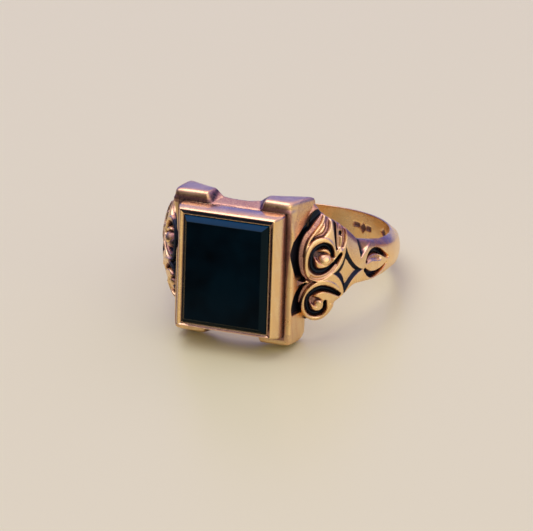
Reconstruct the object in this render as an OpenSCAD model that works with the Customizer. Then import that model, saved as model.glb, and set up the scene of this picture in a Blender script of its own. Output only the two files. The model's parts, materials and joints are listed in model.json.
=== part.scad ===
// Signet ring with a bevelled stone tablet, lying on its side the way it rests on a table.
// It is drawn upright first: the finger hole runs along Z and the stone faces -Y, with +X to
// the right. laid() then tips it about the hole's centre until an ear and the band touch down.
// Angles round the ring are counted from the stone (0) towards +X (90) and the back (180).

/* [Finger hole and band] */
// Inside diameter of the finger hole
finger_d = 19.4; // [19:0.1:19.8]
// Thickness of the band at its crown
band_t = 1.04; // [0.9:0.02:1.2]
// Half width of the band at the back of the ring
band_half_w = 1.65; // [1.5:0.05:1.8]
// Height of the band's middle line above the middle of the stone
band_lift = 0.2; // [0:0.05:0.3]
// Radius of the rounded outside of the band, across its width
band_crown_r = 3.0; // [2.8:0.1:3.6]

/* [Stone] */
// Width of the stone tablet
stone_w = 8.4; // [8:0.1:8.8]
// Length of the stone tablet
stone_l = 10; // [9.6:0.1:10.4]
// Thickness of the stone below its bevel
stone_t = 1.5; // [1.3:0.05:1.55]
// Width of the bevel round the stone's table
bevel_w = 0.48; // [0.3:0.02:0.6]
// Height of the bevel round the stone's table
bevel_h = 0.53; // [0.3:0.01:0.6]

/* [Head] */
// Metal between the finger hole and the front ledge
head_t = 1.3; // [1.2:0.05:1.5]
// Height of the bezel above the front ledge
bezel_h = 1.7; // [1.6:0.05:1.8]
// Wall of the bezel along the stone's long sides
bezel_side = 1.0; // [0.8:0.05:1.1]
// Wall of the bezel at the stone's upper end
bezel_end = 0.9; // [0.8:0.05:1.0]
// Wall of the bezel at the stone's lower end
bezel_foot = 0.55; // [0.5:0.05:0.8]
// Width of the front ledge beside the bezel
ledge_w = 0.72; // [0.6:0.02:0.8]
// How far the head flares on each side towards the finger
head_flare = 0.05; // [0.02:0.01:0.1]
// How far the four ears reach past the bezel
ear_reach = 0.92; // [0.7:0.02:1.0]
// Half the gap between a pair of ears
ear_gap_half = 2.8; // [2.4:0.1:3.0]
// Bevel on the outer corners of the ears
ear_bevel = 0.4; // [0.2:0.05:0.5]

/* [Shoulders] */
// Radius of the shoulder's barrel, round the ring
barrel_r = 10.68; // [10.5:0.02:10.8]
// How far the barrel's centre sits towards the stone
barrel_shift = 1.0; // [0.8:0.05:1.1]
// Radius of the barrel's crown, across its width
barrel_crown_r = 10.5; // [10:0.5:12]
// Angle where each shoulder ends and the plain band begins
shoulder_end = 76; // [72:1:78]

/* [Scrolls] */
// Radius of the large scrolls
scroll_r = 1.65; // [1.5:0.05:1.7]
// Height of the scrolls' rims above the shoulder
scroll_rise = 0.2; // [0.1:0.02:0.3]
// Depth of the star sunk into each shoulder
star_depth = 0.45; // [0.3:0.05:0.5]

/* [Hidden] */
$fn = 96;

finger_r = finger_d / 2;
solder_t = 0.12;        // thickness of every solder layer
solder_depth = 0.5;     // how deep the shoulders' solder reaches from the finger hole
solder_foot = -4.3;     // lowest height of the shoulders' solder
solder_head = 5.9;      // greatest height of the shoulders' solder
seat_t = 0.45;          // thickness of the ledge under the stone
seat_w = 0.8;           // width of the ledge under the stone
big = 60;               // longer than the ring in every direction
shoulder_z_high = 6.5;  // height of the hoop's upper outline where it enters the head
shoulder_z_low = -4.8;  // height of the lower outline there

// Planes across the head, as distances in front of the finger hole's axis
ledge_y = finger_r + head_t;
rim_y = ledge_y + bezel_h;
table_y = rim_y + bevel_h;
stone_back_y = rim_y - stone_t;
plate_y = stone_back_y - seat_t;

// Half sizes across the head
bezel_x = stone_w / 2 + bezel_side;
bezel_z = stone_l / 2 + bezel_end;
bezel_foot_z = stone_l / 2 + bezel_foot;
head_x = bezel_x + ledge_w;
head_z = bezel_z + ear_reach;
foot_z = bezel_foot_z + ear_reach;
head_back_y = finger_r * cos(37.8);     // where the flared sides reach the finger hole
back_corner = 0.9;      // bevel where the head's ends meet its back
ear_rise = 0.08;        // how much higher the upper ears stand at their back than at the ledge
lip_w = 0.1;            // width of the bezel's lip against the stone
crest_w = bezel_foot - 0.05;    // distance of the moulding's crest from the stone
crest_h = 0.13;         // height of the crest above the lip
side_drop = 0.7 * bezel_h;      // drop of the moulding's outer slope at the sides and the foot
top_drop = bezel_h + crest_h - 2 * solder_t;    // its drop at the top
notch_tilt = 21;        // slant of the saddles between the ears
shoulder_start = 28;    // an angle that lies inside the head at every radius

// Band
crown_r = finger_r + band_t;
band_edge_r = crown_r - band_crown_r + sqrt(pow(band_crown_r, 2) - pow(band_half_w, 2));
solder_angle = solder_t / crown_r * 180 / PI;

// The ring rests on the back corners of the lower ears and on the band's lower edge at the back
lie_angle = atan((foot_z - (band_half_w - band_lift)) / (head_back_y + back_corner + band_edge_r));

// Upper and lower outline of the hoop seen from the side, as [angle, height] at the finger hole
upper_outline = [[30, shoulder_z_high], [39, 6.4], [46, 5.3], [55, 4.35], [64, 3.3], [68, 2.6], [87, 2.15],
                 [110, 1.95], [180, band_half_w + band_lift]];
lower_outline = [[180, band_lift - band_half_w], [90, -1.5], [66, -1.65], [61, -2.5],
                 [53, -3.1], [46, -4.4], [40, shoulder_z_low], [30, shoulder_z_low]];

// Ornament on a shoulder, as [angle, height]
upper_scroll = [43.5, 1.55];
lower_scroll = [41, -2.6];
star_at = [55, 0.2];
star_arms = [1.9, 2.15, 1.15, 2.15];    // towards the band, up, towards the head, down
eye_at = [72.5, 0.65];
eye_r = 1.15;

module laid() {
    rotate([-lie_angle, 0, 0]) children();
}

module finger_hole() {
    cylinder(r = finger_r, h = big, center = true);
}

// A plan outline in X and distance in front of the axis, carried through the ring along Z
module along_z(points, half) {
    translate([0, 0, -half])
        linear_extrude(2 * half) polygon([for (p = points) [p[0], -p[1]]]);
}

// A side outline in Z and distance in front of the axis, carried through the ring along X
module along_x(points, half) {
    rotate([0, -90, 0])
        translate([0, 0, -half])
            linear_extrude(2 * half) polygon([for (p = points) [p[0], -p[1]]]);
}

// Both sides of a half outline given as [half width, distance], widest points last
function both(half) = concat(half, [for (i = [len(half) - 1 : -1 : 0]) [-half[i][0], half[i][1]]]);

// An outline in X and Z, carried from the ring's axis past the stone
module along_y(points) {
    rotate([90, 0, 0]) linear_extrude(table_y) polygon(points);
}

// Top half and foot half of an outline given as [height, distance], each from the front backwards
function top_and_foot(top, foot) = concat(top, [for (i = [len(foot) - 1 : -1 : 0])
                                                [-foot[i][0], foot[i][1]]]);

// A block between two distances in front of the axis
module slab(half_x, half_z, back_y, front_y) {
    translate([-half_x, -front_y, -half_z]) cube([2 * half_x, front_y - back_y, 2 * half_z]);
}

// A wedge about the axis that holds the angles from a to b on the right side
module sector(a, b) {
    far = 40;
    mid = (a + b) / 2;
    along_z([[0, 0], for (t = [a, mid, b]) [far * sin(t), far * cos(t)]], big / 2);
}

// Children stand on the shoulder: +Z points out of the ring at the given angle and height
module at_shoulder(spot) {
    rotate([0, 0, spot[0]]) translate([0, 0, spot[1]]) rotate([90, 0, 0]) children();
}

function barrel_at(angle) = barrel_r + barrel_shift * cos(angle);

// One side of the star: a hollow curve from a tip along one axis to a tip along the next
function star_side(a, b, turn) = [for (t = [0 : 15 : 75])
    let (x = a * (1 - sin(t)), y = b * (1 - cos(t)))
    [x * cos(turn) - y * sin(turn), x * sin(turn) + y * cos(turn)]];

module star_outline() {
    polygon([for (i = [0 : 3]) each star_side(star_arms[i], star_arms[(i + 1) % 4], 90 * i)]);
}

// A D-shaped ring of even section
module band_ring() {
    translate([0, 0, band_lift])
        rotate_extrude()
            intersection() {
                translate([crown_r - band_crown_r, 0]) circle(r = band_crown_r);
                translate([finger_r - 0.5, -band_crown_r]) square([band_t + 1, 2 * band_crown_r]);
            }
}

// A barrel nearer the stone, which makes the shoulders rise out of the band
module shoulder_barrel(grow = 0) {
    translate([0, -barrel_shift, band_lift])
        rotate_extrude()
            intersection() {
                translate([barrel_r - barrel_crown_r, 0]) circle(r = barrel_crown_r + grow);
                translate([barrel_r / 2, -barrel_r]) square([barrel_r, 2 * barrel_r]);
            }
}

function side_point(p) = [p[1], finger_r * cos(p[0])];

module hoop() {
    difference() {
        intersection() {
            union() {
                band_ring();
                shoulder_barrel();
            }
            along_x(concat([[shoulder_z_high, ledge_y]],
                           [for (p = upper_outline) side_point(p)],
                           [[band_lift + band_half_w, -table_y], [band_lift - band_half_w, -table_y]],
                           [for (p = lower_outline) side_point(p)],
                           [[shoulder_z_low, ledge_y]]), big / 2);
        }
        finger_hole();
    }
}

// The head's flared plan, grown sideways by a margin
module head_plan(margin) {
    along_z(both([[head_x + margin, ledge_y], [head_x + head_flare + margin, head_back_y],
                  [head_x + head_flare + margin, head_back_y - back_corner]]), big / 2);
}

// A round scroll: a raised rim with a raised eye in its middle
module scroll(spot) {
    rim_w = 0.45;
    eye_half = 0.7;
    at_shoulder(spot) {
        difference() {
            cylinder(r = scroll_r, h = big / 2, $fn = 48);
            cylinder(r = scroll_r - rim_w, h = big, center = true, $fn = 48);
        }
        cylinder(r = eye_half, h = big / 2, $fn = 48);
    }
}

// The whole right shoulder, before it is parted from the head and the band
module shoulder_stock() {
    groove_w = 0.3;
    difference() {
        union() {
            hoop();
            intersection() {
                shoulder_barrel(scroll_rise);
                difference() {
                    union() {
                        scroll(upper_scroll);
                        scroll(lower_scroll);
                    }
                    finger_hole();
                }
            }
        }
        at_shoulder(star_at)
            translate([0, 0, barrel_at(star_at[0]) - star_depth])
                linear_extrude(5) star_outline();
        at_shoulder(eye_at)
            translate([0, 0, barrel_at(eye_at[0]) - star_depth])
                difference() {
                    cylinder(r = eye_r, h = 2, $fn = 48);
                    cylinder(r = eye_r - groove_w, h = 5, center = true, $fn = 48);
                }
    }
}

// The solder beside the head: a layer under the carving, next to the finger
module solder_layer() {
    intersection() {
        head_plan(solder_t);
        cylinder(r = finger_r + solder_depth, h = big, center = true);
        translate([0, -ledge_y, solder_foot]) cube([ledge_y, ledge_y, solder_head - solder_foot]);
    }
}

module shoulder() {
    intersection() {
        difference() {
            shoulder_stock();
            head_plan(0);
            solder_layer();
        }
        sector(shoulder_start, shoulder_end);
    }
}

module solder_shoulder() {
    intersection() {
        hoop();
        difference() {
            solder_layer();
            head_plan(0);
        }
        sector(shoulder_start, shoulder_end);
    }
}

module solder_shank() {
    intersection() {
        hoop();
        sector(shoulder_end, shoulder_end + solder_angle);
    }
}

module shank() {
    color("#c98a4b") laid()
        difference() {
            hoop();
            sector(-1, shoulder_end + solder_angle);
            mirror([1, 0, 0]) sector(-1, shoulder_end + solder_angle);
        }
}

module shoulder_right() {
    color("#c2854a") laid() shoulder();
}

module shoulder_left() {
    color("#c2854a") laid() mirror([1, 0, 0]) shoulder();
}

function ear_side(reach, rise) = [[reach, ledge_y], [reach + rise, head_back_y + back_corner],
                                  [reach + rise - back_corner, head_back_y - back_corner]];

module head_frame() {
    notch_r = (pow(ear_gap_half, 2) + pow(ear_reach, 2)) / (2 * ear_reach);
    half = head_x + head_flare;
    tip_z = head_z + ear_rise;
    color("#b97845") laid()
        difference() {
            intersection() {
                head_plan(0);
                along_x(top_and_foot(ear_side(head_z, ear_rise), ear_side(foot_z, 0)), big / 2);
                along_y([[half, ear_bevel - foot_z], [half, tip_z - ear_bevel],
                         [half - ear_bevel, tip_z], [ear_bevel - half, tip_z],
                         [-half, tip_z - ear_bevel], [-half, ear_bevel - foot_z],
                         [ear_bevel - half, -foot_z], [half - ear_bevel, -foot_z]]);
            }
            for (end = [[1, bezel_z], [-1, bezel_foot_z]])
                translate([0, -ledge_y, end[0] * (end[1] + notch_r)])
                    rotate([90 - end[0] * notch_tilt, 0, 0])
                        cylinder(r = notch_r, h = 2 * bezel_x, center = true);
            slab(stone_w / 2, stone_l / 2, 0, table_y);
            finger_hole();
        }
}

// Half outline of the bezel's moulding: a lip, a crest, a slope with a bend in it and an upright wall
function moulding(inner, outer, drop) = [[inner + lip_w, rim_y], [inner + crest_w, rim_y + crest_h],
    [(inner + crest_w + outer) / 2, rim_y + crest_h - drop / 4], [outer, rim_y + crest_h - drop],
    [outer, ledge_y + solder_t]];

module bezel() {
    color("#d39a5c") laid()
        difference() {
            intersection() {
                along_z(both(moulding(stone_w / 2, bezel_x, side_drop)), bezel_z);
                along_x(top_and_foot(moulding(stone_l / 2, bezel_z, top_drop),
                                     moulding(stone_l / 2, bezel_foot_z, side_drop)), bezel_x);
            }
            slab(stone_w / 2, stone_l / 2, 0, table_y);
        }
}

module solder_bezel() {
    color("#8d6a45") laid()
        difference() {
            translate([-bezel_x, -ledge_y - solder_t, -bezel_foot_z])
                cube([2 * bezel_x, solder_t, bezel_foot_z + bezel_z]);
            slab(stone_w / 2, stone_l / 2, 0, table_y);
        }
}

module stone_seat() {
    color("#a86f3e") laid()
        difference() {
            slab(stone_w / 2, stone_l / 2, plate_y, stone_back_y);
            slab(stone_w / 2 - seat_w, stone_l / 2 - seat_w, 0, table_y);
        }
}

module stone_cement() {
    color("#5b3a26") laid() slab(stone_w / 2 - seat_w, stone_l / 2 - seat_w, plate_y, stone_back_y);
}

module back_plate() {
    color("#bd8347") laid()
        difference() {
            slab(stone_w / 2, stone_l / 2, 0, plate_y);
            finger_hole();
        }
}

module stone() {
    color("#0d1d20") laid()
        intersection() {
            along_z(both([[stone_w / 2 - bevel_w, table_y], [stone_w / 2, rim_y],
                          [stone_w / 2, stone_back_y]]), stone_l / 2);
            along_x(both([[stone_l / 2 - bevel_w, table_y], [stone_l / 2, rim_y],
                          [stone_l / 2, stone_back_y]]), stone_w / 2);
        }
}

module solder_shoulder_right() {
    color("#8d6a45") laid() solder_shoulder();
}

module solder_shoulder_left() {
    color("#8d6a45") laid() mirror([1, 0, 0]) solder_shoulder();
}

module solder_shank_right() {
    color("#8d6a45") laid() solder_shank();
}

module solder_shank_left() {
    color("#8d6a45") laid() mirror([1, 0, 0]) solder_shank();
}

shank();
shoulder_right();
shoulder_left();
head_frame();
bezel();
stone_seat();
back_plate();
stone();
stone_cement();
solder_bezel();
solder_shoulder_right();
solder_shoulder_left();
solder_shank_right();
solder_shank_left();
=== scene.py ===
import json
import math
import bpy
import numpy as np
from mathutils import Matrix, Vector


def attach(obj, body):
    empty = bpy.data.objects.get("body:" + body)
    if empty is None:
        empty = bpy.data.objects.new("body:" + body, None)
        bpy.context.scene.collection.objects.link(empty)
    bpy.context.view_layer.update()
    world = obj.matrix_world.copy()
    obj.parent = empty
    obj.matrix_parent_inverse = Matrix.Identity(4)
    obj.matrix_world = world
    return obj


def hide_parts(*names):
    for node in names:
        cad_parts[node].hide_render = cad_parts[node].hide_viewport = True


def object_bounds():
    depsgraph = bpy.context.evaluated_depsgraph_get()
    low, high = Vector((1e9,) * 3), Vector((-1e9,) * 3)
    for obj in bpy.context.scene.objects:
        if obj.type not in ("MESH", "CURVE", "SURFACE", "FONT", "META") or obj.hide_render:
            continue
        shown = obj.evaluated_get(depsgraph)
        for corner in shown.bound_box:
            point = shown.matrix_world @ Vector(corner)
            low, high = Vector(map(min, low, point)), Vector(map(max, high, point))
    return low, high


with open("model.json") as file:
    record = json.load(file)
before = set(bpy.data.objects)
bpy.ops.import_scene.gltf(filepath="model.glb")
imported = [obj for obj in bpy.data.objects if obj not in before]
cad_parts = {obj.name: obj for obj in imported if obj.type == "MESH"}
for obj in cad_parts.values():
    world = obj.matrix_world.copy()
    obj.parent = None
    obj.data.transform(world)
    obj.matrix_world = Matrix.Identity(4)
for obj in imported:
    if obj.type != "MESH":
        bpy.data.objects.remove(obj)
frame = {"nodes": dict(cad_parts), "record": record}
cad_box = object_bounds()

# ---------- the ring's own directions
# Shapes are worked out in millimetres on the upright ring: the finger hole runs along Z, the
# stone faces -Y and +X is to its right. Angles run from the stone (0) by +X (90) to the back.

MM = 0.001
hole = next(m for m in frame["record"]["mounts"] if m["name"] == "finger_hole")
FINGER_R = hole["dims"]["r_mm"]
LIE = math.atan2(hole["axis"][1], hole["axis"][2])
LAY = np.array(Matrix.Rotation(-LIE, 3, "X"))


def local_box(node):
    """Lowest and highest corner of a CAD node on the upright ring, in millimetres."""
    co = np.array([v.co for v in frame["nodes"][node].data.vertices]) @ LAY / MM
    return co.min(0), co.max(0)


stone_lo, stone_hi = local_box("stone")
bezel_lo, bezel_hi = local_box("bezel")
head_lo, head_hi = local_box("head_frame")
LEDGE = -head_lo[1]  # distance of the front ledge from the hole's axis
TABLE = -stone_lo[1]  # distance of the stone's table
BEVEL_H = 0.53  # height of the stone's bevelled edge
RIM = TABLE - BEVEL_H  # distance of the stone's girdle and the bezel's lip
STONE_X, STONE_Z = stone_hi[0], stone_hi[2]
BEZEL_X, BEZEL_TOP, BEZEL_FOOT = bezel_hi[0], bezel_hi[2], -bezel_lo[2]
HEAD_TOP, HEAD_FOOT = head_hi[2], -head_lo[2]
HEAD_BACK_D = -head_hi[1]  # distance of the head's back from the hole's axis
HEAD_BACK_X = head_hi[0]  # half width of the head where it meets the finger hole
SIDE_LEDGE = 0.72  # width of the ledge on each side of the bezel
HEAD_FRONT_X = BEZEL_X + SIDE_LEDGE


# ---------- small maths

def smoothstep(a, b, x):
    t = np.clip((x - a) / (b - a), 0, 1)
    return t * t * (3 - 2 * t)


def round_max(a, b, k):
    """The larger of two fields, with the corner between them rounded by about k / 2."""
    return 0.5 * (a + b + np.sqrt((a - b) ** 2 + k * k))


def round_min(a, b, k):
    return -round_max(-a, -b, k)


def curve(points, n=12):
    """A smooth line through control points of any width, n samples to a span."""
    p = np.array(points, float)
    p = np.vstack([2 * p[0] - p[1], p, 2 * p[-1] - p[-2]])
    t = (np.arange(n) / n)[:, None]
    out = []
    for a, b, c, d in zip(p[:-3], p[1:-2], p[2:-1], p[3:]):
        out.append(0.5 * (2 * b + (c - a) * t + (2 * a - 5 * b + 4 * c - d) * t ** 2
                          + (3 * b - a - 3 * c + d) * t ** 3))
    return np.vstack(out + [p[-2:-1]])


def polygon_distance(x, y, corners):
    """Distance to a closed outline, negative inside it."""
    x, y = np.broadcast_arrays(x, y)
    inside = np.zeros(x.shape, bool)
    best = np.full(x.shape, 1e9)
    for (ax, ay), (bx, by) in zip(corners, np.roll(corners, -1, 0)):
        ex, ey = bx - ax, by - ay
        t = np.clip(((x - ax) * ex + (y - ay) * ey) / (ex * ex + ey * ey), 0, 1)
        best = np.minimum(best, np.hypot(x - ax - t * ex, y - ay - t * ey))
        crosses = (ay > y) != (by > y)
        side = ax + (y - ay) * ex / (ey if abs(ey) > 1e-12 else 1e-12)
        inside ^= crosses & (x < side)
    return np.where(inside, -best, best)


# ---------- the hoop's outer surface
# Each list holds [angle, value] pairs: the radius on the middle line, the radius of curvature
# across the band, and the heights of the upper and lower edges.

CROWN = [[0, 11.6], [30, 11.6], [45, 11.62], [56, 11.42], [66, 11.15], [76, 10.92], [90, 10.76],
         [120, 10.74], [180, 10.74]]
CROWN_CURVE = [[0, 13.0], [50, 13.0], [62, 10.0], [76, 5.0], [92, 3.0], [180, 3.0]]
UPPER = [[0, 6.85], [37.8, 6.85], [41.5, 6.05], [44.3, 5.45], [47.3, 5.05], [51.5, 4.7], [55.6, 4.15],
         [59.6, 3.5], [62.4, 3.0], [66, 2.78], [70, 2.65], [76, 2.45], [87, 2.14], [110, 1.95],
         [180, 1.85]]
LOWER = [[0, -2.7], [49.6, -2.7], [52, -2.45], [54.3, -2.1], [56.2, -1.75], [58.2, -1.4],
         [60.3, -1.2], [67, -1.2], [79, -1.3], [90, -1.45], [180, -1.45]]
SCROLL_LOW = (41.3, -2.62)  # middle of the lower scroll, as angle and height
SCROLL_LOW_R = (1.70, 1.85)  # its half width along the ring and its half height
DESIGN_R = 11.2  # radius at which the carving's angles are turned into lengths
DEGREE = DESIGN_R * math.pi / 180


def along(table, angle):
    t = np.array(table, float)
    return np.interp(angle, t[:, 0], t[:, 1])


def smooth_along(table, angle, reach=3.0):
    """A table read off with its corners eased over a few degrees."""
    shifts = (-1, -0.5, 0, 0.5, 1)
    return sum(along(table, angle + s * reach) for s in shifts) / len(shifts)


def lift(angle):
    """Height of the hoop's middle line: it rises a little towards the head."""
    return 0.4 + 0.2 * np.cos(np.radians(angle))


def plain_radius(angle, z):
    """Radius of the hoop's outer surface before it is carved."""
    c = smooth_along(CROWN_CURVE, angle)
    off = np.minimum(np.abs(z - lift(angle)), 0.97 * c)
    return smooth_along(CROWN, angle) - (c - np.sqrt(c * c - off * off))


# ---------- the carving
# Strokes are painted in order. Each takes the surface to a height, measured from the plain
# hoop. Points are [angle, height, half width in millimetres].

GROUND = -1.0  # the ground between the scrolls, cut as deep as THIN allows
THIN = 0.30  # least metal left between the carving and the finger
PROUD = 0.25  # most that the carving stands above the plain hoop
OUTLINE_ROUND, EDGE_ROUND, BORE_ROUND = 0.1, 0.22, 0.06  # how the hoop's corners are rounded
# Each stroke is (height, softness of its sides, level share of its width, points)
STROKES = [
    # the corner between the head and the upper outline
    (-0.26, 0.5, 0.7, [[34.5, 5.5, .7], [36.5, 6.1, .6], [39, 6.3, .4]]),
    # the ground between the head and the scrolls
    (GROUND, 0.3, 0.7, [[42.9, 5.6, .34], [39.7, 5.08, .5], [36.5, 4.45, .56], [33.7, 3.8, .52],
        [31.6, 2.94, .48], [30.1, 2.12, .52], [29.7, 1.34, .52], [30.2, .65, .42], [31.5, .05, .3],
        [33.7, -.31, .1]]),
    (GROUND, 0.3, 0.7, [[34.7, -.79, .08], [32.4, -1.23, .25], [30.9, -2.02, .42],
        [30.1, -2.87, .42], [29.6, -3.7, .3]]),
    # the leaf that sweeps round the upper scroll: its outer slope, its ridge and its inner slope
    (-0.32, 0.5, 0.4, [[43.7, 5.21, .28], [40.7, 4.58, .33], [37.8, 3.97, .33], [34.9, 3.46, .33],
        [33, 2.6, .31], [32.5, 1.63, .28], [33.1, .74, .24], [34.5, .14, .2], [37.8, -.36, .14]]),
    (0.0, 0.3, 0.2, [[44.1, 5.31, .06], [42.6, 4.73, .06], [40.1, 4.17, .06], [37.5, 3.61, .06],
        [35.9, 3.19, .05], [34.7, 2.57, .05], [34, 1.79, .05]]),
    (-0.34, 0.36, 0.2, [[45.7, 5.02, .16], [44.9, 4.29, .16], [43, 3.79, .13], [40.5, 3.57, .1],
        [38.1, 3.27, .08], [36.6, 2.84, .05]]),
    # the slope outside the lower scroll
    (-0.35, 0.4, 0.5, [[38.8, -.71, .1], [35.9, -1.02, .2], [33.8, -1.75, .24], [33, -2.55, .2],
        [32.9, -3.19, .12]]),
    # rims of the scrolls
    (0.1, 0.2, 0.4, [[47.4, 2.19, .1], [46.3, 2.87, .15], [44.1, 3.25, .16], [41, 3.3, .17],
        [37.9, 3.01, .16], [35.7, 2.39, .14], [34.6, 1.51, .13], [34.8, .62, .13], [36.1, .02, .14],
        [38.9, -.3, .13], [42.5, -.23, .13], [46.1, .27, .12], [49.3, 1.11, .12],
        [51.6, 2.17, .1]]),
    (0.1, 0.2, 0.4, [[50.6, -1.38, .12], [47.5, -.88, .16], [43.8, -.64, .17], [39.9, -.74, .17],
        [36.4, -1.26, .15], [34.3, -2.15, .15], [33.9, -3.06, .15], [35.5, -3.83, .16],
        [38.9, -4.25, .17], [43, -4.22, .18], [46.2, -3.67, .22], [48.2, -3.02, .28]]),
    # the dark grooves inside the scrolls
    (-0.6, 0.42, 0.12, [[47.3, 1.76, .03], [46.6, 2.34, .1], [44.5, 2.7, .16], [41.4, 2.66, .2],
        [38.7, 2.2, .24], [37.5, 1.37, .26], [38.2, .67, .27], [40.8, .36, .28], [44.6, .48, .25],
        [48.2, 1.02, .17], [50.2, 1.52, .08], [51.4, 1.88, .02]]),
    (-0.2, 0.3, 0.2, [[37, -.06, .08], [38.9, -.2, .12], [42.5, -.12, .13], [46.1, .3, .12],
        [48.9, .9, .05]]),
    (-0.6, 0.42, 0.12, [[44.7, -2.52, .02], [44.9, -3.12, .07], [43.5, -3.55, .14],
        [40.7, -3.68, .18], [37.9, -3.42, .2], [36.5, -2.73, .22], [36.9, -1.99, .26],
        [39.3, -1.45, .25], [42.6, -1.22, .2], [46.1, -1.36, .15], [49.1, -1.62, .09],
        [51.8, -1.92, .03]]),
    # the slot beside the upper edge, the slope on its right and the hollow next to it
    (-0.5, 0.18, 0.3, [[49.2, 4.95, .2], [49.2, 4.16, .17], [49.3, 3.42, .14], [49.3, 2.85, .1],
        [49.3, 2.37, .03]]),
    (-0.2, 0.3, 0.3, [[51.4, 4.74, .12], [50.8, 3.92, .12], [50.4, 3.18, .12], [50.3, 2.61, .08]]),
    (-0.3, 0.3, 0.2, [[53.9, 4.39, .12], [53.9, 3.79, .14], [53.5, 3.14, .14], [52.4, 2.58, .08]]),
    # the two crescents round the eye, the upper one with a gentle inner slope
    (-0.24, 0.4, 0.3, [[68.5, .86, .12], [71.2, 1.03, .2], [74.9, .94, .2], [78.6, .76, .12]]),
    (-0.66, 0.24, 0.3, [[67.6, .75, .1], [69.9, 1.3, .22], [74, 1.48, .27], [79.1, 1.28, .24],
        [83.6, .83, .15], [87.1, .51, .05]]),
    (-0.66, 0.24, 0.3, [[66.4, .02, .08], [69.4, -.42, .19], [72.9, -.65, .27], [76.3, -.65, .26],
        [80, -.48, .19], [83, -.24, .12], [85.2, -.01, .04]]),
    # the hollows the scrolls' bulbs stand in
    (-0.5, 0.4, 0.4, [[39.8, 1.9, .3], [41.5, 1.75, .45], [43.2, 1.6, .5], [44.6, 1.5, .4]]),
    (-0.45, 0.4, 0.4, [[38.7, -2.3, .25], [40, -2.45, .35], [41.3, -2.55, .3]]),
]
# Round eyes of the scrolls: the middle, the high side and the low side with their heights, and
# the radius
BULBS = [((43.6, 1.5), (45.2, 1.2, 0.16), (40.6, 2.3, -0.32), 0.72),
         ((41.6, -2.7), (43.4, -2.75, 0.08), (38.8, -2.2, -0.30), 0.55)]
STAR_AT = (54.4, 0.15)
STAR_ARMS = (12.0, 2.85, 8.3, 2.75)  # right and left in degrees, up and down in millimetres
STAR_DEPTH = 0.36
STAR_WALL = (0.35, 0.52)  # width of the star's sloping walls, right and left
STAR_HOLLOW = 0.88  # how hollow its sides are: 0 straight, 1 quarter circles
NOTCH = [[60.7, 3.6], [61.2, 3.0], [63.3, 1.15], [65.5, 1.55], [74.6, 2.75], [76, 3.6]]
NOTCH_LOW_LINE = ((61.2, 3.0), (63.3, 1.15))  # the notch is deepest along this steep side
NOTCH_DEPTH = 0.45
PIN_HOLE = (52.0, 3.72, 0.15, 0.24)  # middle, then half width and half height
CARVED_TO = 88.0  # the last angle the carving reaches


def star_corners():
    """The star's outline: four tips joined by hollow curves."""
    right, up, left, down = STAR_ARMS[0] * DEGREE, STAR_ARMS[1], STAR_ARMS[2] * DEGREE, STAR_ARMS[3]
    arms = [(right, 0), (0, up), (-left, 0), (0, -down)]
    out = []
    for (ax, ay), (bx, by) in zip(arms, arms[1:] + arms[:1]):
        for t in np.linspace(0, math.pi / 2, 9)[:-1]:
            a = STAR_HOLLOW * (1 - math.sin(t)) + (1 - STAR_HOLLOW) * math.cos(t) ** 2
            b = STAR_HOLLOW * (1 - math.cos(t)) + (1 - STAR_HOLLOW) * math.sin(t) ** 2
            out.append((ax * a + bx * b, ay * a + by * b))
    return np.array(out)


def star_wall(angle):
    """Width of the star's sloping walls: wider on the side towards the head."""
    return STAR_WALL[1] + (STAR_WALL[0] - STAR_WALL[1]) * smoothstep(-1.5, 1.5, angle - STAR_AT[0])


def paint_stroke(height, angle, z, target, soft, flat, points):
    """Takes the surface to the target height along a line; flat is the level share of its width."""
    line = curve(points)
    x = angle * DEGREE
    near = np.full(np.broadcast(x, z).shape, 1e9)
    for px, pz, half in zip(line[:, 0] * DEGREE, line[:, 1], np.maximum(line[:, 2], 0.01)):
        near = np.minimum(near, np.hypot(x - px, z - pz) / (half + 0.5 * soft))
    return height + (target - height) * (1 - smoothstep(flat, 1.0, near))


def bulb(height, angle, z, middle, high, low, size):
    """A tilted dome left standing inside a scroll's groove."""
    x, y = (angle - middle[0]) * DEGREE, z - middle[1]
    run = ((high[0] - low[0]) * DEGREE, high[1] - low[1])
    share = ((angle - low[0]) * DEGREE * run[0] + (z - low[1]) * run[1]) / (run[0] ** 2 + run[1] ** 2)
    top = low[2] + (high[2] - low[2]) * smoothstep(0.0, 1.0, share)
    dome = top - 0.5 * (np.hypot(x, y) / size) ** 3
    return np.where(np.hypot(x, y) < 1.3 * size, np.maximum(height, dome), height)


def notch_run(angle, z):
    """Distance into the notch from its steep side."""
    (ax, az), (bx, bz) = [(a * DEGREE, h) for a, h in NOTCH_LOW_LINE]
    across = (angle * DEGREE - ax) * (az - bz) + (z - az) * (bx - ax)
    return across / math.hypot(bx - ax, bz - az)


def carving(angle, z):
    """Height of the carved surface above the plain hoop, in millimetres."""
    x = angle * DEGREE
    height = np.zeros(np.broadcast(angle, z).shape)
    for target, soft, flat, points in STROKES:
        height = paint_stroke(height, angle, z, target, soft, flat, points)
    for middle, high, low, size in BULBS:
        height = bulb(height, angle, z, middle, high, low, size)
    star = polygon_distance(x - STAR_AT[0] * DEGREE, z - STAR_AT[1], star_corners())
    height = height + (-STAR_DEPTH - height) * np.clip(-star / star_wall(angle), 0, 1)
    notch = polygon_distance(x, z, np.array(NOTCH) * [DEGREE, 1])
    floor = -NOTCH_DEPTH * (1 - 0.85 * smoothstep(0.35, 1.9, notch_run(angle, z)))
    height = height + (floor - height) * smoothstep(-0.02, 0.13, -notch)
    return height - 0.4 * pin_hole(angle, z)


def pin_hole(angle, z):
    """1 inside the small hole beside the slot, 0 outside it."""
    across, up, wide, tall = PIN_HOLE
    return 1 - smoothstep(0.6, 1.2, np.hypot((angle - across) * DEGREE / wide, (z - up) / tall))


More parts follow.
